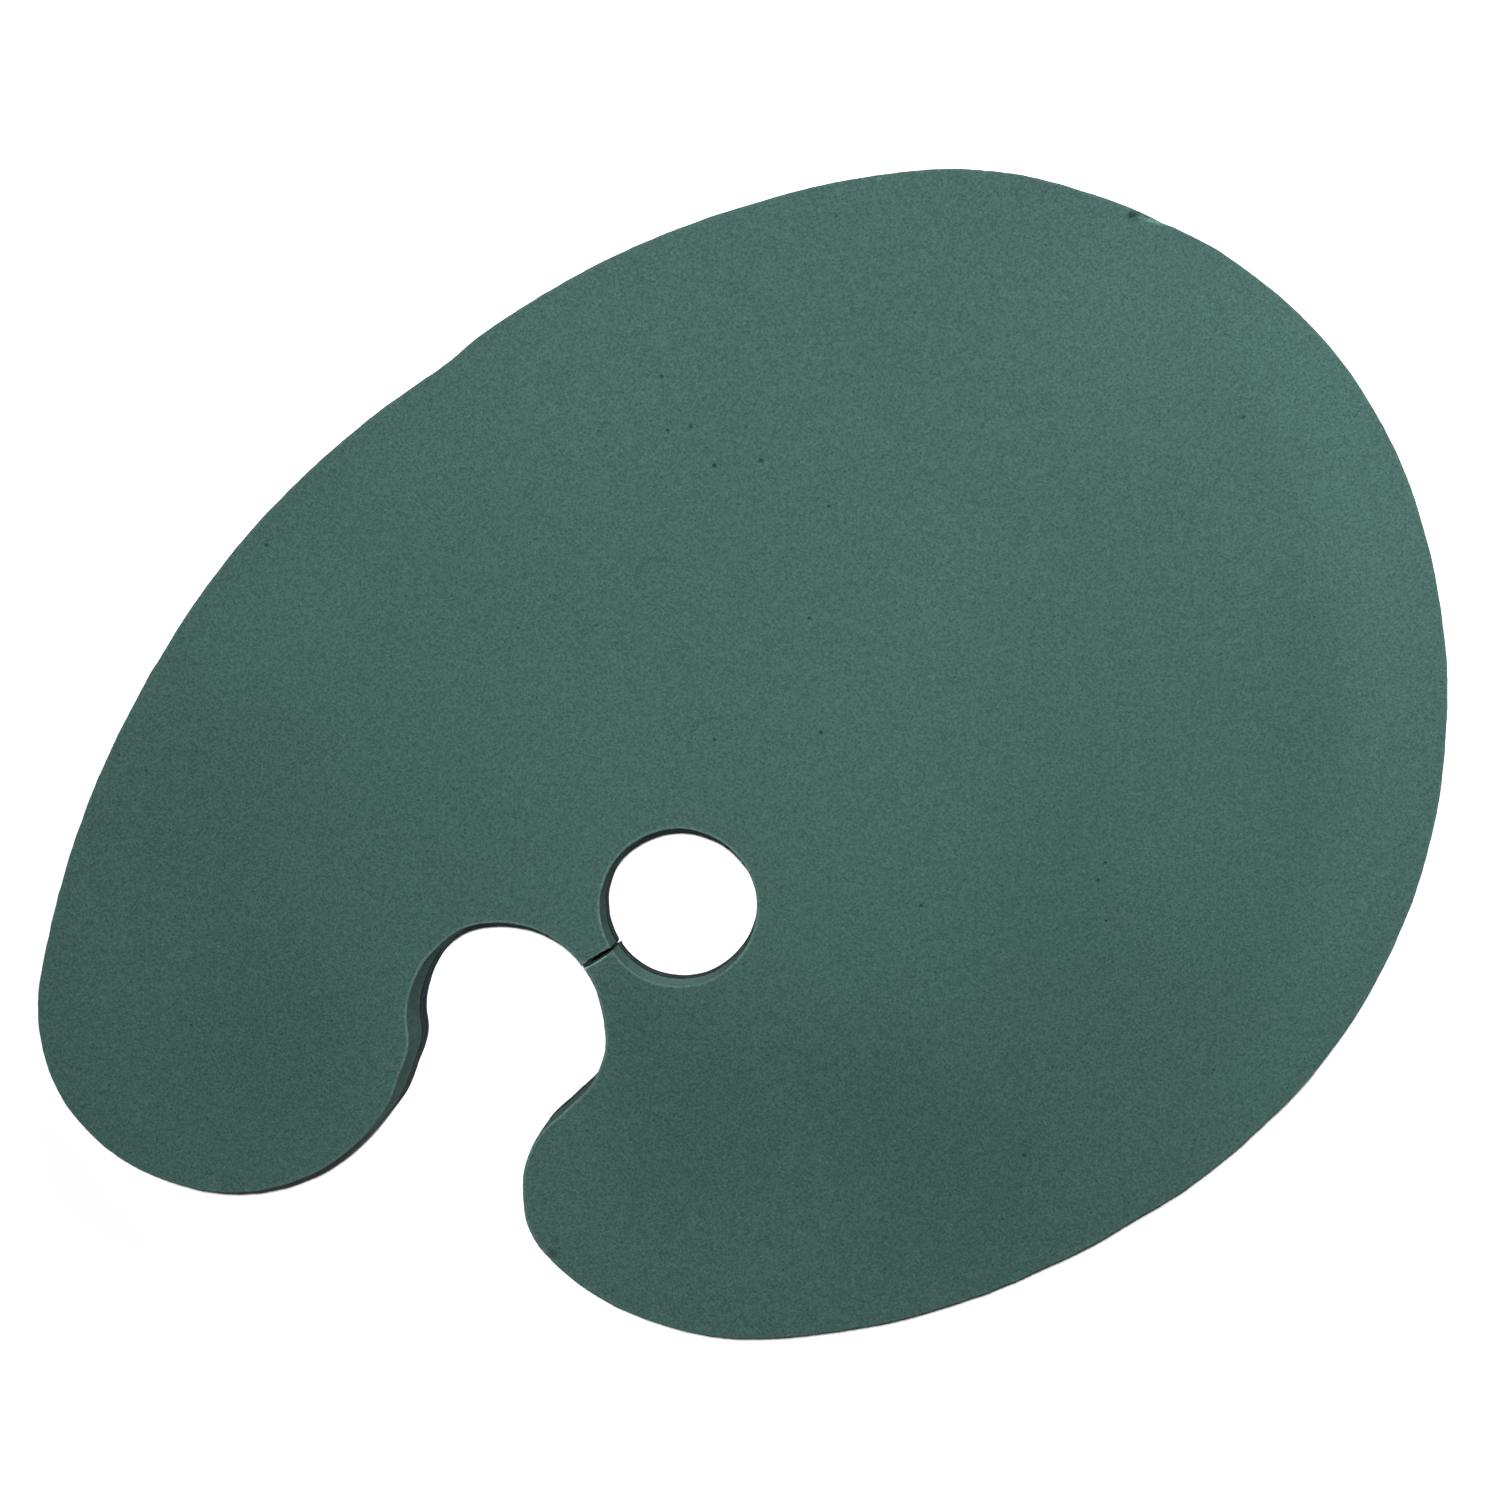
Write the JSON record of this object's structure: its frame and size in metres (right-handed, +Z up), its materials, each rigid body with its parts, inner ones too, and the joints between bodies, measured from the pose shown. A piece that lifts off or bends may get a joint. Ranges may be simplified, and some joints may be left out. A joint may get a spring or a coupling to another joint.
{
  "type": "floral foam palette base",
  "caption": "Artist's-palette-shaped slab of wet floral foam glued to a dark polystyrene backing board, with a finger notch, a round thumb hole and a blade slit between them.",
  "frame": {"origin": "on the underside of the backing board, below the middle of the outline's box", "axes": "+X along the palette's length towards its blunt end, +Y across its width towards the far edge, with the finger notch opening on the -X side, +Z up through the foam"},
  "size_m": [0.61, 0.452, 0.05],
  "materials": {
    "floral_foam": "matt, fine open-cell phenolic foam, crumbly at its edges",
    "glue": "dull dried adhesive film",
    "backing_polystyrene": "satin expanded polystyrene, bead texture"
  },
  "bodies": {
    "root": {"backing_board": "backing_polystyrene", "glue_film": "glue", "foam_slab": "floral_foam"}
  },
  "joints": []
}
